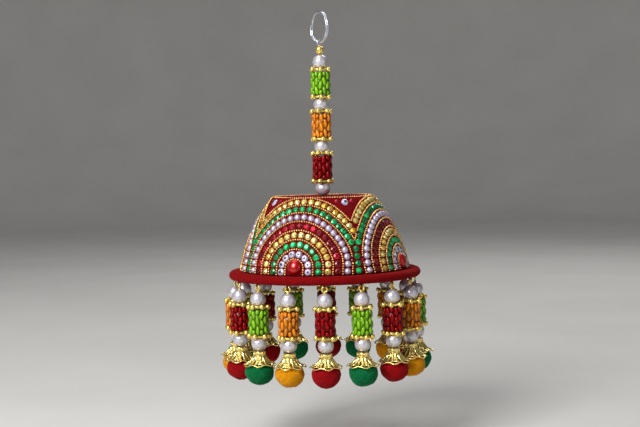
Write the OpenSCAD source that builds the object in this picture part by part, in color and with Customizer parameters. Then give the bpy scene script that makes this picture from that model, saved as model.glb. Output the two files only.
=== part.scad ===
// Jhoomar: a velvet dome with stone paving and bead drops, hung from a bead
// strand and a split ring. The origin is the ring's inner top, where the ring
// rests on what holds it. +Z is up, -Y is the front, angles run from the front
// towards +X.

/* [Hang ring] */
// Outer diameter of the split ring
ring_d = 21.2; // [18:0.1:26]
// Thickness of the ring's band, in its plane
ring_t = 1.2; // [1:0.1:1.6]
// Width of the ring's band, both coils
ring_w = 2.3; // [2:0.1:3]
// Turn of the ring's plane about the strand
ring_turn = -58; // [-90:1:90]

/* [Strand] */
// Diameter of the wire through the beads
wire_d = 0.8; // [0.6:0.1:1]
// Inner radius of the wire's eye
eye_r = 1.25; // [1.2:0.05:1.5]
// Diameter of the gold bead
gold_bead_d = 5.5; // [4:0.1:6]
// Free play between neighbouring pieces
gap = 0.2; // [0.15:0.05:0.3]

/* [Beads] */
// Diameter of a pearl
pearl_d = 10; // [9.5:0.1:10.2]
// Hole through a bead
bead_hole_d = 1.4; // [1.2:0.1:1.8]
// From the middle of a pearl to the spacer under it
pearl_to_spacer = 4.8; // [4.6:0.1:5]
// From one pearl to the next along the thread
pearl_pitch = 27.8; // [27.5:0.1:28.5]
// Diameter of a rice bead barrel
barrel_d = 13.3; // [12:0.1:14]
// Height of a barrel
barrel_h = 15.4; // [14:0.1:15.4]
// Rounding of a barrel's rims
barrel_round = 1.6; // [1:0.1:2]
// Diameter of a spacer's balls
spacer_ball_d = 2.8; // [2.4:0.1:3]
// Radius of the circle that a spacer's balls sit on
spacer_ball_r = 6.1; // [5.8:0.1:6.3]
// Thickness of a spacer's ring
spacer_t = 1.6; // [1.2:0.1:1.8]
// Number of balls on a spacer
spacer_balls = 6; // [5:1:7]
// Radius of a spacer's ring, at the middle of its width
spacer_ring_r = 4.5; // [4.4:0.05:4.6]
// Width of a spacer's ring
spacer_ring_w = 2.4; // [2.2:0.1:2.4]

/* [Dome] */
// Height of the dome
dome_h = 48; // [44:0.1:50]
// Outer radius of the flat top
dome_top_r = 32.5; // [30:0.1:35]
// Outer radius at the foot
dome_foot_r = 55.3; // [53:0.1:57]
// Radius of the arc between them, in the section
dome_arc_r = 105; // [80:1:140]
// Wall of the dome
dome_wall = 2.4; // [2:0.1:3]

/* [Brim] */
// Outer diameter of the brim
brim_d = 127; // [120:1:130]
// Thickness of the brim, rounded at its edge
brim_t = 5.2; // [4.8:0.1:6]
// Radius of the opening under the dome
brim_hole_r = 50; // [44:1:51]

/* [Stones] */
// Width of the large stone at the foot of each arch
stone_w = 8.6; // [7:0.1:9]
// Height of that stone
stone_h = 10; // [8:0.1:11]
// How far it stands out
stone_out = 3.2; // [2.5:0.1:4]
// Direction of each arch from the front, set out by hand and so not quite even
arch_turns = [-20, 67, 160, 254]; // [-40:1:270]

/* [Drops] */
// Number of drops
drops = 16; // [12:1:16]
// Radius of the circle that they hang on
drop_r = 60; // [58:0.1:60.5]
// Outer diameter of a drop's loop
loop_d = 4.6; // [4:0.1:5]
// Wire of the loop
loop_wire = 1.1; // [0.8:0.1:1.2]
// Height of the bell cap
cap_h = 9.8; // [9:0.1:11]
// Radius of the bell cap's rim
cap_rim_r = 9.9; // [9:0.1:10.5]
// Wall of the bell cap
cap_wall = 0.5; // [0.4:0.05:0.6]
// Diameter of a pompom
pompom_d = 17.8; // [16:0.1:18]

/* [Hidden] */
$fn = 64;
TURNS = [for (i = [0 : drops - 1]) i * 360 / drops];
TWO_DIGITS = [for (i = [1 : drops]) str(i < 10 ? "0" : "", i)];

// Heights down the strand
ring_axis_z = ring_t - ring_d / 2;
pivot_z = 1.5 * ring_t - ring_d;
gold_z = pivot_z - eye_r - wire_d - gap / 2 - gold_bead_d / 2;
first_pearl_z = gold_z - (gold_bead_d + pearl_d) / 2 - gap / 2;
strand_units = 3;
last_pearl_z = first_pearl_z - strand_units * pearl_pitch;
dome_top_z = last_pearl_z - pearl_d / 2 - gap;
dome_foot_z = dome_top_z - dome_h;
brim_top_z = dome_foot_z - gap;
brim_foot_z = brim_top_z - brim_t;

// Centre of the dome's arc, from its two ends, in the dome's own section
chord = [dome_foot_r - dome_top_r, -dome_h];
chord_mid = [dome_top_r, 0] + chord / 2;
chord_out = [dome_h, chord.x] / norm(chord);
arc_centre = chord_mid - chord_out * sqrt(pow(dome_arc_r, 2) - pow(norm(chord) / 2, 2));

// Heights of a drop, below the brim
drop_pearl_z = -gap - loop_d - pearl_d / 2;
cap_top_z = drop_pearl_z - pearl_pitch - pearl_d / 2 + 0.5;
cap_rim_z = cap_top_z - cap_h;
pompom_z = cap_rim_z - 3.6;

// Spacer heights: the first of each pair is under a pearl, the second over one
function spacer_z(i) =
  first_pearl_z - floor(i / 2) * pearl_pitch
  - (i % 2 == 0 ? pearl_to_spacer : pearl_pitch - pearl_to_spacer);
function barrel_z(i) = first_pearl_z - (i + 0.5) * pearl_pitch;
function dome_r(z) = arc_centre.x + sqrt(pow(dome_arc_r, 2) - pow(z - arc_centre.y, 2));

// Section with round corners, standing on the X axis side of its middle
module round_section(w, h, r) {
  square([w - 2 * r, h], center = true);
  square([w, h - 2 * r], center = true);
  for (x = [-1, 1], y = [-1, 1])
    translate([x * (w / 2 - r), y * (h / 2 - r)]) circle(r);
}

module drilled(d) {
  difference() {
    children();
    cylinder(h = 40, d = d, center = true);
  }
}

module pearl_shape() {
  sphere(d = pearl_d);
}

module barrel_shape() {
  rotate_extrude() intersection() {
    round_section(barrel_d, barrel_h, barrel_round);
    translate([0, -barrel_h / 2]) square([barrel_d, barrel_h]);
  }
}

// The ring is open in the middle, so that the pearl's underside sits in it
module spacer_shape() {
  rotate_extrude() translate([spacer_ring_r, 0]) round_section(spacer_ring_w, spacer_t, 0.5);
  for (i = [0 : spacer_balls - 1])
    rotate([0, 0, i * 360 / spacer_balls]) translate([spacer_ball_r, 0, 0]) sphere(d = spacer_ball_d);
}

module hang_ring() {
  color("silver")
    translate([0, 0, ring_axis_z]) rotate([0, 0, ring_turn]) rotate([90, 0, 0])
      rotate_extrude() translate([(ring_d - ring_t) / 2, 0]) round_section(ring_t, ring_w, ring_t / 2 - 0.05);
}

// The eye goes round the ring's band, and the wire runs through every bead
// to a small stop under the dome's top
module strand_wire() {
  stop_top = dome_top_z - dome_wall - gap;
  color("gainsboro") {
    translate([0, 0, pivot_z]) rotate([0, 0, ring_turn]) rotate([0, 90, 0])
      rotate_extrude() translate([eye_r + wire_d / 2, 0]) circle(d = wire_d);
    translate([0, 0, stop_top - 1]) cylinder(h = pivot_z - eye_r - wire_d / 2 - stop_top + 1, d = wire_d);
    translate([0, 0, stop_top - 2]) cylinder(h = 2, d = 4);
  }
}

module gold_bead() {
  color("gold") translate([0, 0, gold_z]) drilled(bead_hole_d) sphere(d = gold_bead_d);
}

module pearl(i) {
  color("ghostwhite")
    translate([0, 0, first_pearl_z - i * pearl_pitch]) drilled(bead_hole_d) pearl_shape();
}

module spacer(i) {
  color("gold") translate([0, 0, spacer_z(i)]) rotate([0, 0, 17 * i]) spacer_shape();
}

module barrel(i, tint) {
  color(tint) translate([0, 0, barrel_z(i)]) drilled(bead_hole_d) barrel_shape();
}

// Section of the bowl's outer or inner face, from its middle line
module bowl_section(arc_r, top) {
  intersection() {
    translate(arc_centre) circle(arc_r, $fn = 360);
    translate([0, -dome_h]) square([dome_foot_r + 5, dome_h - top]);
  }
}

module dome() {
  color("firebrick") translate([0, 0, dome_top_z]) difference() {
    rotate_extrude() bowl_section(dome_arc_r, 0);
    translate([0, 0, -0.01]) rotate_extrude() bowl_section(dome_arc_r - dome_wall, dome_wall);
    cylinder(h = 3 * dome_wall, d = bead_hole_d, center = true);
  }
}

module brim() {
  width = brim_d / 2 - brim_hole_r - brim_t / 2;
  color("darkred") translate([0, 0, brim_top_z - brim_t / 2]) rotate_extrude() {
    translate([brim_hole_r, -brim_t / 2]) square([width, brim_t]);
    translate([brim_hole_r + width, 0]) circle(d = brim_t);
  }
}

// Half an egg, flat where it is glued to the velvet
module cabochon(i) {
  up = stone_h / 2 + 0.8;
  lean = atan2(dome_r(-dome_h + up - 1) - dome_r(-dome_h + up + 1), 2);
  color("crimson")
    rotate([0, 0, arch_turns[i]])
      translate([0, -dome_r(-dome_h + up) - gap, dome_foot_z + up]) rotate([90 - lean, 0, 0])
        intersection() {
          scale([stone_w, stone_h, 2 * stone_out] / stone_h) sphere(d = stone_h);
          translate([-stone_h, -stone_h, 0]) cube(2 * stone_h);
        }
}

// Bell cap: a band, then a skirt that flares out over the pompom
module bell_cap() {
  skirt = [[3.9, -2.4], [4.9, -4.5], [6.3, -6.3], [8.0, -8.1], [cap_rim_r, -cap_h]];
  inside = [for (i = [len(skirt) - 1 : -1 : 0]) skirt[i] - [cap_wall, 0]];
  rotate_extrude() {
    polygon(concat(skirt, inside));
    translate([0, -2.4]) square([4.3, 2.4]);
  }
}

// One drop, from its loop under the brim down to its bell cap. Its beads are
// joined along their thread, so each of its spacers is closed in the middle.
module drop(turn) {
  color("goldenrod") rotate([0, 0, turn]) translate([0, -drop_r, brim_foot_z]) {
    translate([0, 0, -gap - loop_d / 2]) rotate([90, 0, 0])
      rotate_extrude() translate([(loop_d - loop_wire) / 2, 0]) circle(d = loop_wire);
    translate([0, 0, cap_top_z - 1]) cylinder(h = -gap - loop_d + 0.8 - cap_top_z + 1, d = wire_d + 0.4);
    for (i = [0, 1])
      translate([0, 0, drop_pearl_z - i * pearl_pitch]) pearl_shape();
    for (z = [pearl_to_spacer, pearl_pitch - pearl_to_spacer]) translate([0, 0, drop_pearl_z - z]) {
      spacer_shape();
      cylinder(h = spacer_t / 2, r = spacer_ring_r, center = true);
    }
    translate([0, 0, drop_pearl_z - pearl_pitch / 2]) barrel_shape();
    translate([0, 0, cap_top_z]) bell_cap();
  }
}

module pompom(turn) {
  color("seagreen")
    rotate([0, 0, turn]) translate([0, -drop_r, brim_foot_z + pompom_z]) sphere(d = pompom_d);
}

hang_ring();
strand_wire();
gold_bead();
for (i = [0 : strand_units])
  pearl(i);
for (i = [0 : 2 * strand_units - 1])
  spacer(i);
barrel(0, "limegreen");  // barrel_green
barrel(1, "orange");  // barrel_orange
barrel(2, "darkred");  // barrel_red
dome();
brim();
for (i = [0 : len(arch_turns) - 1])
  cabochon(i);
for (i = [0 : drops - 1])
  drop(TURNS[i]);
for (i = [0 : drops - 1])
  pompom(TURNS[i]);
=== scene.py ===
"""Looks of the jhoomar: velvet dome with stone paving, felt brim, bead strand and bead drops.

Shapes are worked out in millimetres in the frame of the CAD model and scaled once, when a mesh
is built. Angles round the strand run from the front (-Y) towards +X.
"""
import math
import random

import bpy
import numpy as np
from mathutils import Matrix, Vector, noise


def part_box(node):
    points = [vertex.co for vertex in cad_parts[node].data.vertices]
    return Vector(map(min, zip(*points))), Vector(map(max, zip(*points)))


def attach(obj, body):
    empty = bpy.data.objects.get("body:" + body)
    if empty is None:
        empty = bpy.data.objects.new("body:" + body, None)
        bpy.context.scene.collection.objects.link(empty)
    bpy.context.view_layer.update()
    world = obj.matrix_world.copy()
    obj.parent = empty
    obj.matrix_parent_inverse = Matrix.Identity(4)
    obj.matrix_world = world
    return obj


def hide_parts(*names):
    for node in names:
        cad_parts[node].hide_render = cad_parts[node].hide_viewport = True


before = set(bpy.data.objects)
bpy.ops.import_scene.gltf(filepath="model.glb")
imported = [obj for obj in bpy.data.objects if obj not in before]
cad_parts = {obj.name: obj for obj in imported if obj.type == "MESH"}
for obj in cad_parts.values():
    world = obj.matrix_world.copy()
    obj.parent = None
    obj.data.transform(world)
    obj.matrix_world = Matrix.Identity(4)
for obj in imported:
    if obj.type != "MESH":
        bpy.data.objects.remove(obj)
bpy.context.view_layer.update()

MM = 0.001
SEED = 1947


# Measures repeated from the CAD model, which can't be read from its boxes

RING_D = 21.2
RING_T = 1.2
RING_W = 2.3
RING_TURN = -58.0
DOME_TOP_R = 32.5
DOME_FOOT_R = 55.3
DOME_ARC_R = 105.0
DOME_WALL = 2.4
BRIM_HOLE_R = 50.0
ARCH_TURNS = (-20.0, 67.0, 160.0, 254.0)
CABOCHON_W = 8.6
CABOCHON_H = 10.0
CABOCHON_OUT = 3.2
DROPS = 16
DROP_R = 60.0
LOOP_D = 4.6
PEARL_D = 10.0
PEARL_TO_SPACER = 4.8
PEARL_PITCH = 27.8
BARREL_D = 13.3
BARREL_H = 15.4
SPACER_BALL_D = 2.8
SPACER_BALL_R = 6.1
CAP_TO_POMPOM = 12.9
POMPOM_D = 17.8
GAP = 0.2

# Colours of the drops in order round the brim, from the front towards +X
DROP_COLOURS = (
    "red", "green", "red", "orange", "green", "red", "orange", "green",
    "red", "green", "red", "green", "orange", "red", "green", "orange",
)


def box_mm(node):
    """Lowest and highest corner of a CAD node, in millimetres."""
    low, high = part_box(node)
    return low / MM, high / MM


DOME_FOOT_Z = box_mm("dome")[0].z
DOME_TOP_Z = box_mm("dome")[1].z
DOME_H = DOME_TOP_Z - DOME_FOOT_Z
BRIM_LOW, BRIM_HIGH = box_mm("brim")
BRIM_R = BRIM_HIGH.x
BRIM_FOOT_Z = BRIM_LOW.z


# Shapes: each is (vertices as an array of rows, faces as a list of index tuples)

def lathe(profile, segments, closed=False):
    """Turns a list of (radius, height) about Z. A radius of 0 makes a pole."""
    verts, rows, faces = [], [], []
    for r, z in profile:
        if r < 1e-6:
            rows.append([len(verts)] * segments)
            verts.append((0.0, 0.0, z))
        else:
            rows.append([len(verts) + i for i in range(segments)])
            for i in range(segments):
                a = 2 * math.pi * i / segments
                verts.append((r * math.cos(a), r * math.sin(a), z))
    pairs = list(zip(rows, rows[1:]))
    if closed:
        pairs.append((rows[-1], rows[0]))
    for low, high in pairs:
        for i in range(segments):
            j = (i + 1) % segments
            ring = (low[i], low[j], high[j], high[i])
            face = tuple(dict.fromkeys(ring))
            if len(face) > 2:
                faces.append(face)
    return np.array(verts), faces


def ball(radii, segments, rings, bottom=-90.0):
    """An ellipsoid, or the part of it above a latitude in degrees."""
    profile = []
    for k in range(rings + 1):
        a = math.radians(bottom + (90.0 - bottom) * k / rings)
        profile.append((abs(math.cos(a)), math.sin(a)))
    verts, faces = lathe(profile, segments)
    return verts * np.array(radii), faces


def torus(ring_r, wire_r, segments, sides):
    """A ring of round wire about Z."""
    profile = []
    for k in range(sides):
        a = 2 * math.pi * k / sides
        profile.append((ring_r + wire_r * math.cos(a), wire_r * math.sin(a)))
    return lathe(profile, segments, closed=True)


def tube(points, section):
    """Sweeps a closed section along points, each given as (centre, side, up), and caps both ends."""
    count = len(section)
    verts, faces = [], []
    for centre, side, up in points:
        for a, b in section:
            verts.append(centre + side * a + up * b)
    for row in range(len(points) - 1):
        for k in range(count):
            n = (k + 1) % count
            base = row * count
            faces.append((base + k, base + n, base + count + n, base + count + k))
    faces.append(tuple(reversed(range(count))))
    last = (len(points) - 1) * count
    faces.append(tuple(last + k for k in range(count)))
    return np.array([tuple(v) for v in verts]), faces


def cut_stone(height, sides, table):
    """A domed stone 1 across: a girdle, a crown in two steps and a table."""
    r = 0.5
    girdle = [(r * 0.92, -0.25), (r, height * 0.15)]
    crown = [(r * 0.86, height * 0.6), (r * table, height), (0, height)]
    return lathe(girdle + crown, sides)


def rounded_profile(corners, steps):
    """Closed (r, z) outline from corners given as (r, z, radius), each rounded by a quadratic curve."""
    outline = []
    count = len(corners)
    for i, (r, z, radius) in enumerate(corners):
        here = Vector((r, z))
        before = Vector(corners[i - 1][:2]) - here
        after = Vector(corners[(i + 1) % count][:2]) - here
        start = here + before.normalized() * radius
        end = here + after.normalized() * radius
        for k in range(steps + 1):
            t = k / steps
            p = start * (1 - t) ** 2 + here * 2 * t * (1 - t) + end * t ** 2
            outline.append((p.x, p.y))
    return outline


class Pile:
    """One joined mesh, made by adding shapes. Each shape has a material and a tint from 0 to 1."""

    def __init__(self):
        self.verts = []
        self.faces = []
        self.face_materials = []
        self.face_smooth = []
        self.tints = []
        self.materials = []
        self.count = 0

    def add(self, shape, material, place=None, smooth=True, tint=0.5):
        verts, faces = shape
        if place is not None:
            turn = np.array(place.to_3x3())
            verts = verts @ turn.T + np.array(place.translation)
        if material not in self.materials:
            self.materials.append(material)
        self.verts.append(verts)
        self.faces.extend(tuple(i + self.count for i in face) for face in faces)
        self.face_materials.extend([self.materials.index(material)] * len(faces))
        self.face_smooth.extend([smooth] * len(faces))
        self.tints.append(np.full(len(verts), tint))
        self.count += len(verts)

    def build(self, name, body, slot, replaced=()):
        """Makes the object, lets it ride on its body and hides the CAD parts that it replaces. Its slot
        is not used.
        """
        mesh = bpy.data.meshes.new(name)
        verts = np.concatenate(self.verts) * MM
        mesh.from_pydata(verts.tolist(), [], self.faces)
        for material in self.materials:
            mesh.materials.append(material)
        mesh.polygons.foreach_set("material_index", self.face_materials)
        mesh.polygons.foreach_set("use_smooth", self.face_smooth)
        tint = mesh.attributes.new("tint", "FLOAT", "POINT")
        tint.data.foreach_set("value", np.concatenate(self.tints).astype(np.float32))
        mesh.validate()
        mesh.update()
        obj = bpy.data.objects.new(name, mesh)
        bpy.context.scene.collection.objects.link(obj)
        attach(obj, body)
        if replaced:
            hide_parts(*replaced)
        return obj


# Materials

class Nodes:
    """Short names for the shader nodes that the materials below are made of."""

    def __init__(self, name):
        self.material = bpy.data.materials.new(name)
        self.material.use_nodes = True
        self.tree = self.material.node_tree
        self.shader = self.tree.nodes["Principled BSDF"]
        coords = self.tree.nodes.new("ShaderNodeTexCoord")
        self.place = coords.outputs["Object"]

    def put(self, socket, value):
        """Sets a socket to a value, or links an output to it."""
        target = self.shader.inputs[socket]
        if isinstance(value, bpy.types.NodeSocket):
            self.tree.links.new(value, target)
        else:
            target.default_value = value

    def noise(self, scale, detail, roughness=0.55, stretch=(1, 1, 1)):
        mapping = self.tree.nodes.new("ShaderNodeMapping")
        mapping.inputs["Scale"].default_value = stretch
        self.tree.links.new(self.place, mapping.inputs["Vector"])
        node = self.tree.nodes.new("ShaderNodeTexNoise")
        node.inputs["Scale"].default_value = scale
        node.inputs["Detail"].default_value = detail
        node.inputs["Roughness"].default_value = roughness
        self.tree.links.new(mapping.outputs["Vector"], node.inputs["Vector"])
        return node.outputs["Fac"]

    def attribute(self, name):
        node = self.tree.nodes.new("ShaderNodeAttribute")
        node.attribute_name = name
        return node.outputs["Fac"]

    def crevice(self, distance):
        """1 in the open and 0 in corners that are closer than a distance in metres. Colours darkened by
        it below are painted shade.
        """
        node = self.tree.nodes.new("ShaderNodeAmbientOcclusion")
        node.inputs["Distance"].default_value = distance
        node.samples = 4
        return node.outputs["AO"]

    # Facing of the surface to the view. Colours mixed by it below are painted highlights, shade and
    # reflection.
    def rim(self, blend):
        node = self.tree.nodes.new("ShaderNodeLayerWeight")
        node.inputs["Blend"].default_value = blend
        return node.outputs["Facing"]

    def ramp(self, fac, *stops):
        node = self.tree.nodes.new("ShaderNodeValToRGB")
        elements = node.color_ramp.elements
        while len(elements) < len(stops):
            elements.new(0.5)
        for element, (position, colour) in zip(elements, stops):
            element.position = position
            element.color = (*colour, 1.0)
        self.tree.links.new(fac, node.inputs["Fac"])
        return node.outputs["Color"]

    def spread(self, fac, low, high):
        """Maps a value from a quarter to three quarters, where noise mostly is, to low up to high."""
        node = self.tree.nodes.new("ShaderNodeMapRange")
        node.inputs["From Min"].default_value = 0.25
        node.inputs["From Max"].default_value = 0.75
        node.inputs["To Min"].default_value = low
        node.inputs["To Max"].default_value = high
        self.tree.links.new(fac, node.inputs["Value"])
        return node.outputs["Result"]

    def mix(self, fac, a, b, blend="MIX"):
        """Mixes two colours. 6, 7 and 2 are the node's colour sockets, whose names are shared."""
        node = self.tree.nodes.new("ShaderNodeMix")
        node.data_type = "RGBA"
        node.blend_type = blend
        for socket, value in ((node.inputs["Factor"], fac), (node.inputs[6], a), (node.inputs[7], b)):
            if isinstance(value, bpy.types.NodeSocket):
                self.tree.links.new(value, socket)
            elif isinstance(value, tuple):
                socket.default_value = (*value, 1.0)
            else:
                socket.default_value = value
        return node.outputs[2]

    def bump(self, height, distance, strength, under=None):
        node = self.tree.nodes.new("ShaderNodeBump")
        node.inputs["Distance"].default_value = distance
        node.inputs["Strength"].default_value = strength
        self.tree.links.new(height, node.inputs["Height"])
        if under is not None:
            self.tree.links.new(under, node.inputs["Normal"])
        return node.outputs["Normal"]


def gold_material(name, dark, light, depth, polish=0.0):
    """Bright plate on cast findings, darker in corners closer than depth: painted shade, with some
    tarnish. polish smooths it.
    """
    n = Nodes(name)
    wear = n.noise(900, 4)
    plate = n.ramp(wear, (0.3, dark), (0.7, light))
    # Painted shade, with some tarnish: the plate is darkened in corners closer than depth.
    corners = n.ramp(n.crevice(depth), (0.3, (0.2, 0.08, 0.01)), (0.8, (1.0, 1.0, 1.0)))
    n.put("Base Color", n.mix(1.0, plate, corners, "MULTIPLY"))
    n.put("Metallic", 0.86)
    n.put("Roughness", n.spread(n.noise(1600, 3), 0.2 - polish, 0.34 - polish))
    n.put("Normal", n.bump(n.noise(2600, 3), 0.00004, 0.5 - 4 * polish))
    return n.material


def silver_material():
    """Polished steel wire with fine draw marks, and shade painted into its seams."""
    n = Nodes("silver_wire")
    steel = n.ramp(n.noise(700, 3), (0.3, (0.6, 0.62, 0.7)), (0.7, (0.82, 0.84, 0.92)))
    # Painted shade: the steel is darkened where the coils lie close.
    painted_corner_shade = n.ramp(n.crevice(0.0008), (0.3, (0.15, 0.15, 0.2)), (0.75, (1.0, 1.0, 1.0)))
    n.put("Base Color", n.mix(1.0, steel, painted_corner_shade, "MULTIPLY"))
    n.put("Metallic", 1.0)
    n.put("Roughness", n.spread(n.noise(2200, 4), 0.24, 0.34))
    n.put("Normal", n.bump(n.noise(3000, 2), 0.00001, 0.3))
    return n.material


def pearl_material(name, middle, edge):
    """Coated plastic pearl, cloudy in the middle, with painted lustre: shade and reflection painted
    towards its rim, as the surface turns from the view.
    """
    n = Nodes(name)
    cloud = n.ramp(n.noise(160, 2), (0.3, (0.93, 0.93, 0.94)), (0.7, (1.0, 1.0, 1.0)))
    # Painted shade and reflection: the colour goes from middle to edge towards the rim, as seen from
    # the view.
    body = n.mix(n.rim(0.45), middle, edge)
    n.put("Base Color", n.mix(1.0, body, cloud, "MULTIPLY"))
    n.put("Roughness", n.spread(n.noise(500, 2), 0.28, 0.35))
    n.put("Metallic", 0.5)
    n.put("Coat Weight", 0.7)
    n.put("Coat Roughness", 0.06)
    n.put("Normal", n.bump(n.noise(900, 2), 0.00001, 0.3))
    return n.material


def rice_bead_material(name, dark, light, gloss=1.0):
    """Clear moulded bead with a highlight painted along its middle, and shade painted towards its sides
    and into the gaps between beads. Each bead has its own tint.
    """
    n = Nodes(name)
    tone = n.ramp(n.attribute("tint"), (0.0, (0.55, 0.55, 0.55)), (1.0, (1.0, 1.0, 1.0)))
    cloud = n.ramp(n.noise(900, 3), (0.3, (0.7, 0.7, 0.7)), (0.7, (1.0, 1.0, 1.0)))
    # Painted shade: darker in the gaps between beads.
    painted_gap_shade = n.ramp(n.crevice(0.0014), (0.3, (0.3, 0.3, 0.3)), (0.75, (1.0, 1.0, 1.0)))
    # Painted highlight and shade: the light colour where the bead faces the view, the dark one towards
    # its sides.
    painted_highlight_and_shade = n.mix(n.rim(0.6), light, dark)
    own = n.mix(1.0, painted_highlight_and_shade, tone, "MULTIPLY")
    cloudy = n.mix(1.0, own, cloud, "MULTIPLY")
    n.put("Base Color", n.mix(1.0, cloudy, painted_gap_shade, "MULTIPLY"))
    n.put("Roughness", n.spread(n.noise(1400, 2), 0.16, 0.26))
    n.put("Specular IOR Level", 0.25 * gloss)
    n.put("Coat Weight", 0.25 * gloss)
    n.put("Coat Roughness", 0.05)
    n.put("Normal", n.bump(n.noise(1100, 2), 0.00005, 0.35))
    return n.material


def stone_material(name, dark, light, foil_dark=0.4, depth=0.0012):
    """Cut stone over coloured foil, with shade painted towards its rim and into corners closer than
    depth. Each stone has its own tint.
    """
    n = Nodes(name)
    tone = n.ramp(n.attribute("tint"), (0.0, dark), (1.0, light))
    # Painted shade: the dark colour towards the stone's rim, as seen from the view.
    painted_rim_shade = n.mix(n.spread(n.rim(0.4), 0.0, 0.8), tone, dark)
    foil = n.ramp(n.noise(600, 1), (0.4, (foil_dark,) * 3), (0.6, (1.0, 1.0, 1.0)))
    # Painted shade: darker in corners closer than depth, between stones and where they meet the velvet.
    painted_corner_shade = n.ramp(n.crevice(depth), (0.4, (0.2, 0.08, 0.04)), (0.9, (1.0, 1.0, 1.0)))
    lit = n.mix(1.0, painted_rim_shade, foil, "MULTIPLY")
    n.put("Base Color", n.mix(1.0, lit, painted_corner_shade, "MULTIPLY"))
    n.put("Metallic", 0.6)
    n.put("Roughness", n.spread(n.noise(1500, 2), 0.22, 0.36))
    n.put("Coat Weight", 0.6)
    n.put("Coat Roughness", 0.03)
    n.put("Normal", n.bump(n.noise(900, 1), 0.0002, 0.5))
    return n.material


def velvet_material():
    """Short red pile, crushed here and there."""
    n = Nodes("velvet")
    crushed = n.noise(90, 4)
    pile = n.noise(5200, 3)
    base = n.ramp(crushed, (0.3, (0.11, 0.001, 0.002)), (0.7, (0.2, 0.002, 0.005)))
    n.put("Base Color", n.mix(n.spread(pile, 0.0, 0.6), base, (0.05, 0.0004, 0.001)))
    n.put("Roughness", 0.92)
    n.put("Sheen Weight", 0.2)
    n.put("Sheen Roughness", 0.4)
    n.put("Sheen Tint", (0.8, 0.05, 0.07, 1.0))
    n.put("Specular IOR Level", 0.08)
    n.put("Normal", n.bump(pile, 0.00025, 0.7, n.bump(crushed, 0.0006, 0.5)))
    return n.material


def felt_material(name, dark, light, sheen):
    """Matted wool: clumps, and fibres that run every way."""
    n = Nodes(name)
    clumps = n.noise(420, 5, 0.6)
    fibres = n.noise(2600, 4, 0.7, (1, 1, 0.35))
    base = n.ramp(clumps, (0.25, dark), (0.75, light))
    shade = n.ramp(fibres, (0.3, (0.62, 0.62, 0.62)), (0.7, (1.0, 1.0, 1.0)))
    n.put("Base Color", n.mix(1.0, base, shade, "MULTIPLY"))
    n.put("Roughness", 0.95)
    n.put("Sheen Weight", 0.25)
    n.put("Sheen Roughness", 0.5)
    n.put("Sheen Tint", (*sheen, 1.0))
    n.put("Specular IOR Level", 0.08)
    n.put("Normal", n.bump(fibres, 0.0003, 0.6, n.bump(clumps, 0.0008, 0.5)))
    return n.material


GOLD = gold_material("gold_plate", (0.74, 0.5, 0.08), (1.0, 0.8, 0.25), 0.0007)
CAST_GOLD = gold_material("cast_gold", (0.84, 0.6, 0.13), (1.0, 0.86, 0.36), 0.001, 0.07)
CHAIN_GOLD = gold_material("ball_chain_gold", (0.78, 0.38, 0.12), (0.96, 0.58, 0.24), 0.0009)
SILVER = silver_material()
# For each pearl, the edge colour is painted shade and reflection at its rim.
PEARL = pearl_material("pearl", (0.61, 0.59, 0.66), (0.5, 0.45, 0.42))
HALF_PEARL = pearl_material("half_pearl", (0.54, 0.48, 0.64), (0.16, 0.05, 0.08))
VELVET = velvet_material()
FELT = felt_material("felt", (0.13, 0.001, 0.001), (0.24, 0.001, 0.003), (0.6, 0.02, 0.02))
# Each bead's light colour is a painted highlight along its middle, and its dark colour painted shade at
# its sides.
RICE = {
    "green": rice_bead_material("rice_beads_green", (0.03, 0.16, 0.0), (0.25, 0.58, 0.003)),
    "orange": rice_bead_material("rice_beads_orange", (0.3, 0.035, 0.0), (0.9, 0.28, 0.002)),
    "red": rice_bead_material("rice_beads_red", (0.06, 0.0, 0.0), (0.32, 0.0, 0.001), 0.4),
}
# Each stone's dark colour is also painted towards its rim as shade.
STONES = {
    "green": stone_material("stone_green", (0.0, 0.18, 0.05), (0.008, 0.7, 0.19), 0.5),
    "gold": stone_material("stone_gold", (0.76, 0.38, 0.02), (1.0, 0.85, 0.3), 0.5),
    "red": stone_material("stone_red", (0.16, 0.0, 0.003), (0.6, 0.004, 0.03), 0.6),
    "clear": stone_material("stone_clear", (0.6, 0.56, 0.85), (0.95, 0.9, 1.0), 0.6),
    # A near-black dot for the crystals' middles: a painted dark reflection.
    "dark": stone_material("stone_culet_painted_dark", (0.01, 0.01, 0.03), (0.03, 0.03, 0.07)),
}
CABOCHON = stone_material("cabochon_red", (0.26, 0.0, 0.003), (0.62, 0.004, 0.006), 0.8, 0.0004)
WOOL = {
    "green": felt_material("wool_green", (0.001, 0.075, 0.02), (0.003, 0.16, 0.05), (0.1, 0.6, 0.25)),
    "orange": felt_material("wool_yellow", (0.5, 0.17, 0.001), (0.8, 0.34, 0.003), (1.0, 0.6, 0.2)),
    "red": felt_material("wool_red", (0.17, 0.001, 0.002), (0.34, 0.003, 0.006), (0.8, 0.08, 0.08)),
}


# The dome's outer face: an arc turned about the strand

CHORD = Vector((DOME_FOOT_R - DOME_TOP_R, -DOME_H))
CHORD_OUT = Vector((DOME_H, CHORD.x)).normalized()
ARC_CENTRE = (
    Vector((DOME_TOP_R, DOME_TOP_Z)) + CHORD / 2
    - CHORD_OUT * math.sqrt(DOME_ARC_R ** 2 - (CHORD.length / 2) ** 2)
)
FOOT_ANGLE = math.asin((DOME_FOOT_Z - ARC_CENTRE.y) / DOME_ARC_R)
TOP_ANGLE = math.asin((DOME_TOP_Z - ARC_CENTRE.y) / DOME_ARC_R)
SLOPE_LENGTH = DOME_ARC_R * (TOP_ANGLE - FOOT_ANGLE)


def slope_angle(up):
    return FOOT_ANGLE + up / DOME_ARC_R


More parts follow.
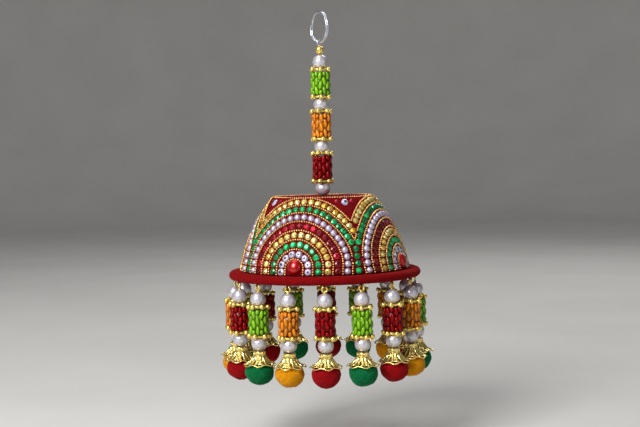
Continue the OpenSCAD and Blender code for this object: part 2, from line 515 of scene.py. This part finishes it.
def dome_point(angle, radius=DOME_ARC_R):
    """(radius, height) of a point on the arc, or on one of another radius round the same centre."""
    return ARC_CENTRE.x + radius * math.cos(angle), ARC_CENTRE.y + radius * math.sin(angle)


def on_dome(turn, up, out=0.0):
    """Place on the dome's face: turn in degrees, up its slope and out of it in millimetres.
    Its X axis runs round the dome, its Y axis up the slope and its Z axis out."""
    a, t = slope_angle(up), math.radians(turn)
    side = Vector((math.cos(t), math.sin(t), 0))
    slope = Vector((-math.sin(a) * math.sin(t), math.sin(a) * math.cos(t), math.cos(a)))
    normal = side.cross(slope)
    r, z = dome_point(a)
    spot = Vector((r * math.sin(t), -r * math.cos(t), z)) + normal * out
    place = Matrix((side, slope, normal)).transposed().to_4x4()
    place.translation = spot
    return place


def tilted(rng, degrees):
    """A small random tilt about a level axis, with a random spin about Z."""
    spin = Matrix.Rotation(rng.uniform(0, 2 * math.pi), 4, "Z")
    lean = Matrix.Rotation(math.radians(rng.uniform(-degrees, degrees)), 4, "X")
    return spin @ lean @ spin.inverted() @ Matrix.Rotation(rng.uniform(0, 2 * math.pi), 4, "Z")


# Rows of the paving. Each arch has them all round one centre, a little above the dome's foot

CENTRE_UP = 4.8
# An arch is pulled in at its shoulders by this part of its radius for each millimetre of it
SHOULDER = 0.0017
# Two arches share the row of this radius where the valley between them is lower than MERGE_UP
SHARED_ROW = 40.1
MERGE_UP = 20.0
# How near two pieces may come, as a part of the distance at which they touch
NEAREST = 0.78
# How far past the middle of a valley a stone of either arch may sit
VALLEY_OVERLAP = 0.9
# How near the middle of a piece may come to the dome's top edge and foot, as a part of its size
TOP_MARGIN = 0.55
FOOT_MARGIN = 0.45
STONE_TILT = 4
CULET_UP = 0.25
CHAIN_BALL_D = 1.3
CHAIN_OUT = 0.75
CHAIN_PITCH = 1.6
TOP_CHAIN_SCALE = 0.75
ROWS = (
    # radius, what it is made of, size, spacing
    (5.9, "chain", CHAIN_BALL_D, CHAIN_PITCH),
    (9.1, "clear", 4.9, 5.0),
    (12.2, "chain", CHAIN_BALL_D, CHAIN_PITCH),
    (15.4, "green", 4.6, 4.9),
    (18.5, "chain", CHAIN_BALL_D, CHAIN_PITCH),
    (21.6, "gold", 4.6, 4.8),
    (24.7, "chain", CHAIN_BALL_D, CHAIN_PITCH),
    (27.8, "red", 4.5, 4.9),
    (30.9, "chain", CHAIN_BALL_D, CHAIN_PITCH),
    (34.1, "pearl", 4.6, 4.8),
    (37.2, "chain", CHAIN_BALL_D, CHAIN_PITCH),
    (SHARED_ROW, "green", 4.5, 4.8),
    (42.8, "chain", CHAIN_BALL_D, CHAIN_PITCH),
    (45.7, "gold", 4.6, 4.8),
    (48.4, "chain", CHAIN_BALL_D, CHAIN_PITCH),
)
VALLEY_STONES = (
    # degrees to each side of the valley, way up the slope, size
    (3.6, 9.4, 2.4),
    (9.0, SLOPE_LENGTH - 3.0, 2.6),
)


def row_path(radius, step=0.4):
    """Points (sideways, up) along a row: up a leg, over the arch and down the other leg."""
    leg = [k * step for k in range(int(CENTRE_UP / step))]
    path = [(-radius, up) for up in leg]
    bends = int(math.pi * radius / step)
    for k in range(bends + 1):
        a = math.pi * (1 - k / bends)
        r = radius * (1 - SHOULDER * radius * math.sin(2 * a) ** 2)
        path.append((r * math.cos(a), CENTRE_UP + r * math.sin(a)))
    path.extend((radius, up) for up in reversed(leg))
    return path


def spaced(path, spacing):
    """Points set evenly along a path, the same from both of its ends."""
    lengths = [0.0]
    for a, b in zip(path, path[1:]):
        lengths.append(lengths[-1] + math.dist(a, b))
    count = max(1, round(lengths[-1] / spacing))
    real = lengths[-1] / count
    marks = [real * (k + 0.5) for k in range(count)]
    sideways, up = np.array(path).T
    return list(zip(np.interp(marks, lengths, sideways), np.interp(marks, lengths, up)))


class Paving:
    """Sets stones, half pearls and chain balls on the dome, and keeps them from lying on each other."""

    def __init__(self):
        self.rng = random.Random(SEED)
        self.piles = {kind: Pile() for kind in ("chain", "clear", "green", "gold", "red", "pearl")}
        self.spots = []
        self.chain_ball = ball((CHAIN_BALL_D / 2,) * 3, 9, 6)
        self.stones = {
            "green": cut_stone(0.27, 8, 0.42),
            "gold": cut_stone(0.33, 8, 0.34),
            "red": cut_stone(0.2, 8, 0.5),
        }
        self.crystal = cut_stone(0.27, 10, 0.45)
        self.culet = ball((0.21, 0.21, 0.07), 8, 3, bottom=0)
        self.half_pearl = ball((0.5, 0.5, 0.46), 16, 7, bottom=-15)

    def is_free(self, spot, size):
        return all((spot - other).length > NEAREST * (size + width) / 2 for other, width in self.spots)

    def put(self, kind, turn, up, size):
        """Sets one piece, unless another one is in its way."""
        place = on_dome(turn, up)
        if not self.is_free(place.translation, size):
            return
        self.spots.append((place.translation.copy(), size))
        tint = self.rng.random() ** (1.5 if kind == "red" else 1)
        pile = self.piles[kind]
        if kind == "chain":
            pile.add(self.chain_ball, CHAIN_GOLD, on_dome(turn, up, CHAIN_OUT), tint=tint)
            return
        grow = Matrix.Scale(size * self.rng.uniform(0.96, 1.03), 4)
        seat = place @ tilted(self.rng, STONE_TILT) @ grow
        if kind == "pearl":
            pile.add(self.half_pearl, HALF_PEARL, seat, tint=tint)
        elif kind == "clear":
            pile.add(self.crystal, STONES["clear"], seat, smooth=False, tint=tint)
            # A near-black dot in the crystal's middle: a painted dark reflection.
            raised = Matrix.Translation((0, 0, CULET_UP))
            pile.add(self.culet, STONES["dark"], seat @ raised, tint=tint)
        else:
            pile.add(self.stones[kind], STONES[kind], seat, smooth=False, tint=tint)

    def add_arch(self, turn, left, right):
        """All rows of one arch. left and right are the directions of the valleys beside it."""
        for radius, kind, size, spacing in ROWS:
            overlap = 0.0 if kind == "chain" else VALLEY_OVERLAP
            for sideways, up in spaced(row_path(radius), spacing):
                up = min(up, SLOPE_LENGTH - TOP_MARGIN * size)
                r = dome_point(slope_angle(up))[0]
                place_turn = turn + math.degrees(sideways / r)
                slack = math.degrees(overlap / r)
                inside = left - slack < place_turn < right + slack
                if radius == SHARED_ROW and up < MERGE_UP:
                    inside = False
                if up > FOOT_MARGIN * size and inside:
                    self.put(kind, place_turn, up, size)

    def add_valley(self, turn):
        """Between two arches: the row that they share, small red stones and a crystal in the corner."""
        for up in np.arange(2.6, MERGE_UP, 4.6):
            self.put("green", turn, up, 4.5)
        for side in (-1, 1):
            for degrees, up, size in VALLEY_STONES:
                self.put("red", turn + side * degrees, up, size)
        self.put("clear", turn, SLOPE_LENGTH - 4.2, 4.8)

    def add_top_edge(self):
        """Fine ball chain round the edge of the flat top."""
        r = DOME_TOP_R - 0.4
        fine = Matrix.Scale(TOP_CHAIN_SCALE, 4)
        count = round(2 * math.pi * r / CHAIN_PITCH)
        for k in range(count):
            a = 2 * math.pi * k / count
            spot = Matrix.Translation((r * math.sin(a), -r * math.cos(a), DOME_TOP_Z + 0.1))
            self.piles["chain"].add(self.chain_ball, CHAIN_GOLD, spot @ fine, tint=self.rng.random())

    def build(self):
        names = {"chain": "ball_chains", "pearl": "half_pearls"}
        slots = {"chain": "gold_plate", "pearl": "pearl"}
        for kind, pile in self.piles.items():
            pile.build(names.get(kind, "stones_" + kind), "ornament", slots.get(kind, "stone_" + kind))


def make_paving():
    paving = Paving()
    paving.add_top_edge()
    for i, turn in enumerate(ARCH_TURNS):
        before = ARCH_TURNS[i - 1] - (360 if i == 0 else 0)
        after = ARCH_TURNS[i + 1] if i + 1 < len(ARCH_TURNS) else ARCH_TURNS[0] + 360
        left, right = (turn + before) / 2, (turn + after) / 2
        paving.add_valley(right)
        paving.add_arch(turn, left, right)
    paving.build()


# Fabric pieces

BRIM_FIBRES = 7000
POMPOM_FIBRES = 900
FIBRE_BEND = 0.9
# Where along its length a fibre is bent
FIBRE_ELBOW = 0.55


def roughen(shape, amount, size, seed):
    """Moves each point a little along the line from the shape's axis, by smooth noise."""
    verts, faces = shape
    moved = verts.copy()
    for i, v in enumerate(verts):
        push = noise.noise(Vector(v) / size + Vector((seed, 0, 0)))
        flat = Vector((v[0], v[1], 0))
        if flat.length > 1e-6:
            moved[i] += np.array(flat.normalized()) * push * amount
        moved[i][2] += noise.noise(Vector(v) / size + Vector((0, seed, 7))) * amount * 0.5
    return moved, faces


def fibre(rng, root, normal, length, width):
    """A bent wisp of wool that stands out of a surface: two narrow faces."""
    random_way = Vector((rng.uniform(-1, 1), rng.uniform(-1, 1), rng.uniform(-1, 1)))
    side = random_way.cross(normal).normalized()
    lean = (normal + side.cross(normal) * rng.uniform(-FIBRE_BEND, FIBRE_BEND)).normalized()
    middle = root + lean * length * FIBRE_ELBOW
    bent = (lean + side * rng.uniform(-FIBRE_BEND, FIBRE_BEND)).normalized()
    tip = middle + bent * length * (1 - FIBRE_ELBOW)
    half = side * width / 2
    verts = [root - half, root + half, middle + half * 0.7, middle - half * 0.7, tip]
    return np.array([tuple(v) for v in verts]), [(0, 1, 2, 3), (3, 2, 4)]


def make_dome():
    """Velvet over a thin bowl, lined with the same cloth."""
    steps = 30
    inner = DOME_ARC_R - DOME_WALL
    inside_top = math.asin((DOME_TOP_Z - DOME_WALL - ARC_CENTRE.y) / inner)
    outside, inside = [], []
    for k in range(steps + 1):
        # The outside stops short of the foot and of the top, where the edges are rounded
        outside.append(dome_point(slope_angle(SLOPE_LENGTH * (0.01 + 0.965 * k / steps))))
        inside.append(dome_point(inside_top + (FOOT_ANGLE - inside_top) * k / steps, inner))
    top_edge = [(DOME_TOP_R - 0.4, DOME_TOP_Z - 0.15), (DOME_TOP_R - 1.2, DOME_TOP_Z)]
    top = [(r, DOME_TOP_Z) for r in (26, 20, 14, 8, 4, 0.7)]
    under = [(r, DOME_TOP_Z - DOME_WALL) for r in (0.7, 6, 14, 22, 28)]
    profile = outside + top_edge + top + under + inside
    pile = Pile()
    bowl = lathe(profile, 180, closed=True)
    pile.add(roughen(bowl, amount=0.14, size=3.0, seed=3.7), VELVET)
    pile.build("dome_velvet", "ornament", "velvet", ["dome"])


def make_brim():
    """Felt-covered ring with a soft round edge and a fringe of loose fibres."""
    top = BRIM_HIGH.z
    thick = top - BRIM_FOOT_Z
    mid = top - thick / 2
    edge = [
        (BRIM_R - thick / 2 + thick / 2 * math.cos(a), mid + thick / 2 * math.sin(a))
        for a in (math.radians(d) for d in range(-80, 81, 10))
    ]
    # Radii of the rows on both flat faces
    flat = (60.5, 57, 54, BRIM_HOLE_R + 1.2)
    bottom = [(r, BRIM_FOOT_Z) for r in reversed(flat)]
    lid = [(r, top) for r in flat]
    hole = [(BRIM_HOLE_R + 0.2, top - 0.6), (BRIM_HOLE_R, mid), (BRIM_HOLE_R + 0.2, BRIM_FOOT_Z + 0.6)]
    pile = Pile()
    ring = lathe(bottom + edge + lid + hole, 240, closed=True)
    pile.add(roughen(ring, amount=0.22, size=3.2, seed=9.1), FELT)
    rng = random.Random(SEED + 1)
    for _ in range(BRIM_FIBRES):
        t, a = rng.uniform(0, 2 * math.pi), math.radians(rng.uniform(-85, 85))
        out = Vector((math.cos(t), math.sin(t), 0))
        normal = out * math.cos(a) + Vector((0, 0, math.sin(a)))
        root = out * (BRIM_R - thick / 2) + Vector((0, 0, mid)) + normal * (thick / 2 - 0.15)
        pile.add(fibre(rng, root, normal, rng.uniform(0.25, 0.75), width=0.06), FELT)
    pile.build("brim_felt", "ornament", "felt", ["brim"])


def make_cabochons():
    """Large smooth red stones under the arches, a little wider than their CAD solids."""
    wider = 0.2
    stone = ball((CABOCHON_W / 2 + wider, CABOCHON_H / 2 + wider, CABOCHON_OUT), 28, 9, bottom=0)
    for i, turn in enumerate(ARCH_TURNS):
        pile = Pile()
        pile.add(stone, CABOCHON, on_dome(turn, CENTRE_UP + 0.9, GAP), tint=0.6)
        pile.build(f"red_stone_{i + 1}", "ornament", "stone_red", [f"cabochon_{i + 1}"])


# Hard pieces of the strand and the drops

SPACER_BALLS = 6
SPACER_BALL_WIDER = 0.6
SPACER_RING = [
    # radius, height and rounding of each corner
    (3.5, -0.7, 0.3), (5.3, -0.7, 0.3), (5.3, 0.7, 0.3), (3.5, 0.7, 0.3),
]


def add_spacer(pile, rng, height):
    """Daisy spacer: balls soldered to a thin ring, lying a little crooked."""
    place = Matrix.Translation((0, 0, height)) @ tilted(rng, 5)
    pile.add(lathe(rounded_profile(SPACER_RING, 3), 30, closed=True), GOLD, place)
    petal = ball(((SPACER_BALL_D + SPACER_BALL_WIDER) / 2,) * 3, 18, 12)
    for k in range(SPACER_BALLS):
        turn = Matrix.Rotation(math.radians(360 / SPACER_BALLS * k), 4, "Z")
        pile.add(petal, GOLD, place @ turn @ Matrix.Translation((SPACER_BALL_R, 0, 0)))


BARREL_COLUMNS = 13
RICE_LENGTH = 6.0
RICE_WIDTH = 2.75
# The bead that fills up a column, as a part of a whole one's length
RICE_SHORT = 0.6


def add_barrel(pile, rng, height, colour):
    """Barrel woven of rice beads: every other column is half a bead lower."""
    material = RICE[colour]
    centre_r = BARREL_D / 2 - RICE_WIDTH / 2 + 0.1
    top = height + BARREL_H / 2
    half = BARREL_H / 2 - 0.8
    core = lathe([(0, -half), (centre_r, -half), (centre_r, half), (0, half)], 24)
    pile.add(core, material, Matrix.Translation((0, 0, height)), tint=0.0)
    whole = ball((RICE_WIDTH / 2, RICE_WIDTH / 2, RICE_LENGTH / 2), 12, 9)
    short = ball((RICE_WIDTH / 2, RICE_WIDTH / 2, RICE_LENGTH * RICE_SHORT / 2), 12, 8)
    stacks = (
        # the beads of every other column, each with the depth of its middle below the top
        ((whole, 2.9), (whole, 9.1), (short, 14.1)),
        ((short, 1.7), (whole, 6.7), (whole, 12.9)),
    )
    start = rng.uniform(0, 360)
    for column in range(BARREL_COLUMNS):
        for shape, depth in stacks[column % 2]:
            degrees = start + column * 360 / BARREL_COLUMNS + rng.uniform(-2, 2)
            turn = Matrix.Rotation(math.radians(degrees), 4, "Z")
            r = centre_r + rng.uniform(-0.12, 0.12)
            spot = Matrix.Translation((r, 0, top - depth + rng.uniform(-0.25, 0.25)))
            lean = Matrix.Rotation(math.radians(rng.uniform(-14, 14)), 4, "X")
            pile.add(shape, material, turn @ spot @ lean, tint=rng.uniform(0.25, 1.0))


CAP_PETALS = 7
PETAL_COLUMNS = 14
CAP_COLUMNS = CAP_PETALS * PETAL_COLUMNS
CAP_SHEET = 0.4
CAP_WIRE = 0.3
CAP_BOSSES = 20
FLUTE_OUT = 0.15
FLUTE_DEPTH = 0.75
PETAL_OUT = 0.2
PETAL_DOWN = 0.55
# Where the skirt is cut through
SLOT_ROWS = range(4, 9)
EYE_ROWS = range(8, 10)
EYE_COLUMNS = range(4, 10)
CAP_SKIRT = (
    # radius and height of each row, from the collar to the petals' edge
    (3.9, -2.7), (4.4, -3.4), (4.85, -4.1), (5.25, -4.75), (5.7, -5.4), (6.2, -6.0),
    (6.8, -6.55), (7.5, -7.05), (8.2, -7.45), (8.9, -7.8), (9.5, -8.05), (10.05, -8.2),
)


def is_pierced(row, column):
    """True in the slots between petals and in the wide eye of each petal's tip."""
    place = column % PETAL_COLUMNS
    if place in (0, PETAL_COLUMNS - 1):
        return row in SLOT_ROWS
    return row in EYE_ROWS and place in EYE_COLUMNS


def cap_point(row, column, out):
    """A point of the skirt, fluted and pleated into petals. out is its way off the middle face."""
    a = 2 * math.pi * column / CAP_COLUMNS
    t = row / (len(CAP_SKIRT) - 1)
    r, z = CAP_SKIRT[row]
    crest = math.cos(CAP_PETALS * (a - math.pi / CAP_PETALS))
    groove = max(0.0, math.cos(2 * CAP_PETALS * a)) * min(1.0, 5 * t)
    tip = t ** 4
    r += (FLUTE_OUT - FLUTE_DEPTH * groove) * (1 - tip) + out + PETAL_OUT * (t + tip) * crest
    return r * math.cos(a), r * math.sin(a), z - PETAL_DOWN * tip * crest + out * t


def pierced_skirt():
    """The skirt as a sheet of real thickness, with a wall wherever a kept cell meets an open one."""
    rows = len(CAP_SKIRT)
    verts = []
    for out in (CAP_SHEET / 2, -CAP_SHEET / 2):
        for i in range(rows):
            verts.extend(cap_point(i, j, out) for j in range(CAP_COLUMNS))

    def corner(side, i, j):
        return (side * rows + i) * CAP_COLUMNS + j % CAP_COLUMNS

    def is_kept(i, j):
        return 0 <= i < rows - 1 and not is_pierced(i, j % CAP_COLUMNS)

    faces = []
    for i in range(rows - 1):
        for j in range(CAP_COLUMNS):
            if not is_kept(i, j):
                continue
            cell = [(i, j), (i + 1, j), (i + 1, j + 1), (i, j + 1)]
            faces.append(tuple(corner(0, *c) for c in cell))
            faces.append(tuple(corner(1, *c) for c in reversed(cell)))
            beside = [(i, j - 1), (i + 1, j), (i, j + 1), (i - 1, j)]
            for k in range(4):
                if not is_kept(*beside[k]):
                    a, b = cell[k], cell[(k + 1) % 4]
                    faces.append((corner(0, *b), corner(0, *a), corner(1, *a), corner(1, *b)))
    return np.array(verts), faces


def cap_edge():
    """Round wire along the petals' edge."""
    sides = 6
    last = len(CAP_SKIRT) - 1
    verts, faces = [], []
    for j in range(CAP_COLUMNS):
        centre = Vector(cap_point(last, j, 0))
        out = Vector((centre.x, centre.y, 0)).normalized()
        for k in range(sides):
            a = 2 * math.pi * k / sides
            up = Vector((0, 0, math.sin(a)))
            verts.append(tuple(centre + (out * math.cos(a) + up) * CAP_WIRE))
            n, after = (k + 1) % sides, (j + 1) % CAP_COLUMNS
            faces.append((j * sides + k, after * sides + k, after * sides + n, j * sides + n))
    return np.array(verts), faces


CAP_COLLAR = (
    # radius and height, out over the top, down the outside and back under
    (0.8, 0), (3.8, 0), (4.05, -0.25), (3.95, -0.6),
    (3.95, -2.2), (4.1, -2.5), (3.8, -2.9), (0.8, -2.9),
)
CAP_SHAPES = (
    lathe(CAP_COLLAR, 36, closed=True),
    pierced_skirt(),
    cap_edge(),
)


def add_bell_cap(pile, rng, top):
    """Stamped bell cap: a collar with small bosses, pierced petals and a wire edge."""
    place = Matrix.Translation((0, 0, top)) @ Matrix.Rotation(rng.uniform(0, 2 * math.pi), 4, "Z")
    for shape in CAP_SHAPES:
        pile.add(shape, CAST_GOLD, place)
    boss = ball((0.1, 0.36, 0.6), 6, 4)
    for k in range(CAP_BOSSES):
        turn = Matrix.Rotation(math.radians(360 / CAP_BOSSES * k), 4, "Z")
        pile.add(boss, CAST_GOLD, place @ turn @ Matrix.Translation((3.9, 0, -1.4)))


LOOP_WIRE = 1.3
DROP_LEAN = 1.3


def add_loop(pile):
    """The wire loop that a drop hangs by, with the stitch that holds it to the brim."""
    middle = -GAP - LOOP_D / 2
    upright = Matrix.Rotation(math.radians(90), 4, "X")
    ring = torus((LOOP_D - LOOP_WIRE) / 2, LOOP_WIRE / 2, 28, 10)
    pile.add(ring, GOLD, Matrix.Translation((0, 0, middle)) @ upright)
    neck = lathe([(0, 0.3), (0.75, 0.1), (0.85, -0.5), (0.7, -1.2), (0, -1.3)], 14)
    pile.add(neck, GOLD, Matrix.Translation((0, 0, -LOOP_D)))
    stitch = Matrix.Rotation(math.radians(90), 4, "Y")
    for x in (-0.35, 0.3):
        at = Matrix.Translation((x, 0, -GAP - LOOP_WIRE / 2 + 0.05))
        pile.add(torus(0.9, 0.17, 16, 6), FELT, at @ stitch)


def drop_place(i, rng):
    """Where a drop hangs, under the brim, turned to face out and leaning a little."""
    turn = Matrix.Rotation(math.radians(360 / DROPS * i), 4, "Z")
    lean = Matrix.Rotation(math.radians(rng.uniform(-DROP_LEAN, DROP_LEAN)), 4, "X")
    sway = Matrix.Rotation(math.radians(rng.uniform(-DROP_LEAN, DROP_LEAN)), 4, "Y")
    return turn @ Matrix.Translation((0, -DROP_R, BRIM_FOOT_Z)) @ lean @ sway


def make_drop(i, colour):
    """One bead drop, made upright under its loop and then put in its place, with its pompom."""
    rng = random.Random(SEED + 100 + i)
    place = drop_place(i, rng)
    pile = Pile()
    first = -GAP - LOOP_D - PEARL_D / 2
    second = first - PEARL_PITCH
    cap_top = second - PEARL_D / 2
    add_loop(pile)
    round_pearl = ball((PEARL_D / 2,) * 3, 28, 16)
    for z in (first, second):
        pile.add(round_pearl, PEARL, Matrix.Translation((0, 0, z)))
    for z in (first - PEARL_TO_SPACER, second + PEARL_TO_SPACER):
        add_spacer(pile, rng, z)
    add_barrel(pile, rng, (first + second) / 2, colour)
    add_bell_cap(pile, rng, cap_top)
    drop = pile.build(f"bead_drop_{i + 1:02d}", "ornament", "bead_string", [f"drop_{i + 1:02d}"])
    place.translation *= MM
    drop.data.transform(place)
    make_pompom(i, colour, place, cap_top - CAP_TO_POMPOM)


POMPOM_SCALE = np.array((1.04, 1.04, 0.98))
POMPOM_TOP_SCALE = 0.82


def make_pompom(i, colour, place, middle):
    """Felted ball with dents, clumps and loose fibres, pressed flatter where the cap sits on it."""
    rng = random.Random(SEED + 200 + i)
    verts, faces = ball((1, 1, 1), 56, 36)
    moved = []
    for v in verts:
        direction = Vector(v)
        lumps = noise.noise(direction * 1.6 + Vector((i * 3.1, 0, 0))) * 0.05
        clumps = noise.noise(direction * 6 + Vector((0, i * 2.3, 0))) * 0.035
        grain = noise.noise(direction * 18 + Vector((0, 0, i))) * 0.012
        moved.append(tuple(direction * POMPOM_D / 2 * (0.99 + lumps + clumps + grain)))
    squashed = np.array(moved) * POMPOM_SCALE
    squashed[squashed[:, 2] > 0, 2] *= POMPOM_TOP_SCALE
    pile = Pile()
    pile.add((squashed, faces), WOOL[colour])
    for _ in range(POMPOM_FIBRES):
        normal = Vector((rng.gauss(0, 1), rng.gauss(0, 1), rng.gauss(0, 1))).normalized()
        if normal.z > 0.85:
            continue
        root = normal * (POMPOM_D / 2 - 0.5)
        pile.add(fibre(rng, root, normal, rng.uniform(0.4, 1.3), width=0.07), WOOL[colour])
    slots = {"red": "pompom_red", "green": "pompom_green", "orange": "pompom_yellow"}
    pompom = pile.build(f"felt_ball_{i + 1:02d}", "ornament", slots[colour], [f"pompom_{i + 1:02d}"])
    pompom.data.transform(place @ Matrix.Translation((0, 0, middle * MM)))


# Nodes whose CAD shape is also what shows, by how their names start
PLAIN_NODES = {"pearl_": PEARL, "gold_bead": GOLD, "strand_wire": SILVER}


def make_strand():
    """Spacers and barrels of the strand. Its pearls, gold bead and wire keep their CAD shapes."""
    rng = random.Random(SEED + 2)
    for i in range(6):
        low, high = box_mm(f"spacer_{i + 1}")
        pile = Pile()
        add_spacer(pile, rng, (low.z + high.z) / 2)
        pile.build(f"daisy_spacer_{i + 1}", "ornament", "gold_plate", [f"spacer_{i + 1}"])
    for colour in ("green", "orange", "red"):
        low, high = box_mm(f"barrel_{colour}")
        pile = Pile()
        add_barrel(pile, rng, (low.z + high.z) / 2, colour)
        pile.build(f"rice_barrel_{colour}", "ornament", f"rice_beads_{colour}", [f"barrel_{colour}"])
    for name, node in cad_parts.items():
        for start, material in PLAIN_NODES.items():
            if name.startswith(start):
                node.data.materials.clear()
                node.data.materials.append(material)


# Angles along the split ring's wire, in degrees: it starts, crosses over to the second coil and ends
WIRE_START = 35
WIRE_CROSS = 360
WIRE_END = 685
WIRE_CROSS_SPAN = 60
# Where angle 0 lies on the ring
WIRE_TURN = -225


def make_split_ring():
    """Two coils of flat wire, one beside the other, that cross over at one place."""
    middle_r = (RING_D - RING_T) / 2
    coil_w = RING_W / 2
    section = rounded_profile([
        (-RING_T / 2, -coil_w / 2, 0.45), (RING_T / 2, -coil_w / 2, 0.45),
        (RING_T / 2, coil_w / 2, 0.45), (-RING_T / 2, coil_w / 2, 0.45),
    ], 4)
    rows = []
    for degrees in range(WIRE_START, WIRE_END + 1, 5):
        a = math.radians(degrees + WIRE_TURN)
        t = min(1.0, max(0.0, (degrees - WIRE_CROSS) / WIRE_CROSS_SPAN + 0.5))
        across = (t * t * (3 - 2 * t) - 0.5) * (coil_w + 0.02)
        out = Vector((math.cos(a), 0, math.sin(a)))
        rows.append((out * middle_r + Vector((0, across, 0)), out, Vector((0, 1, 0))))
    pile = Pile()
    turn = Matrix.Rotation(math.radians(RING_TURN), 4, "Z")
    pile.add(tube(rows, section), SILVER, Matrix.Translation((0, 0, RING_T - RING_D / 2)) @ turn)
    pile.build("split_ring", "holder", "silver_wire", ["hang_ring"])


# Floor, light and camera

def make_stage():
    """A wide pale floor under the pompoms, which curves up into a low wall all round."""
    floor_z = BRIM_FOOT_Z - 110
    wide, bend, wall = 2600, 900, 500
    profile = [(0, floor_z), (wide / 2, floor_z), (wide, floor_z)]
    for k in range(1, 13):
        a = math.radians(90 * k / 12)
        profile.append((wide + bend * math.sin(a), floor_z + bend * (1 - math.cos(a))))
    profile.append((wide + bend, floor_z + bend + wall))
    verts, faces = lathe(profile, 96)
    mesh = bpy.data.meshes.new("floor")
    mesh.from_pydata((verts * MM).tolist(), [], faces)
    mesh.polygons.foreach_set("use_smooth", [True] * len(faces))
    floor = bpy.data.objects.new("floor", mesh)
    bpy.context.scene.collection.objects.link(floor)
    n = Nodes("floor_paper")
    n.put("Base Color", n.ramp(n.noise(6, 2), (0.3, (0.54, 0.53, 0.51)), (0.7, (0.58, 0.57, 0.55))))
    n.put("Roughness", 0.9)
    mesh.materials.append(n.material)


LIGHTS = (
    # name, place, side of the square, power in watts
    ("key", (-0.6, -0.9, 0.5), 0.6, 21),
    ("fill", (1.1, -0.8, 0.1), 0.7, 1.2),
    ("back", (0.4, 1.2, 0.8), 0.6, 5),
    ("room", (-0.5, -0.2, 2.6), 2.4, 32),
)


def add_light(name, place, target, size, power):
    data = bpy.data.lights.new(name, "AREA")
    data.size = size
    data.energy = power
    light = bpy.data.objects.new(name, data)
    light.location = place
    light.rotation_euler = (Vector(target) - Vector(place)).to_track_quat("-Z", "Y").to_euler()
    bpy.context.scene.collection.objects.link(light)


def make_lights():
    """Soft boxes over a dim room, so that gold and pearls have something dark to reflect."""
    middle = (0, 0, -0.13)
    for name, place, size, power in LIGHTS:
        add_light(name, place, middle, size, power)
    world = bpy.data.worlds.new("studio")
    world.use_nodes = True
    world.node_tree.nodes["Background"].inputs["Color"].default_value = (0.86, 0.87, 0.9, 1.0)
    world.node_tree.nodes["Background"].inputs["Strength"].default_value = 0.12
    bpy.context.scene.world = world
    bpy.context.scene.view_settings.view_transform = "Standard"


def make_camera():
    """The photo's view: its place and turn fit the pixels of beads, brim and drops in the photo."""
    photo_width = 640
    focal_px = 1280.9
    yaw, pitch, roll = (math.radians(d) for d in (-0.572, 2.693, 1.343))
    forward = Vector((
        math.sin(yaw) * math.cos(pitch), math.cos(yaw) * math.cos(pitch), -math.sin(pitch),
    ))
    level = Vector((math.cos(yaw), -math.sin(yaw), 0))
    upward = level.cross(forward)
    right = level * math.cos(roll) - upward * math.sin(roll)
    up = level * math.sin(roll) + upward * math.cos(roll)
    data = bpy.data.cameras.new("camera")
    data.sensor_width = 36
    data.lens = data.sensor_width * focal_px / photo_width
    data.clip_end = 30
    camera = bpy.data.objects.new("camera", data)
    camera.matrix_world = Matrix((right, up, -forward)).transposed().to_4x4()
    camera.location = Vector((6.24, -850.0, -92.3)) * MM
    bpy.context.scene.collection.objects.link(camera)
    bpy.context.scene.camera = camera


make_camera()
make_stage()
make_lights()
make_split_ring()
make_strand()
make_dome()
make_brim()
make_paving()
make_cabochons()
for number, drop_colour in enumerate(DROP_COLOURS):
    make_drop(number, drop_colour)
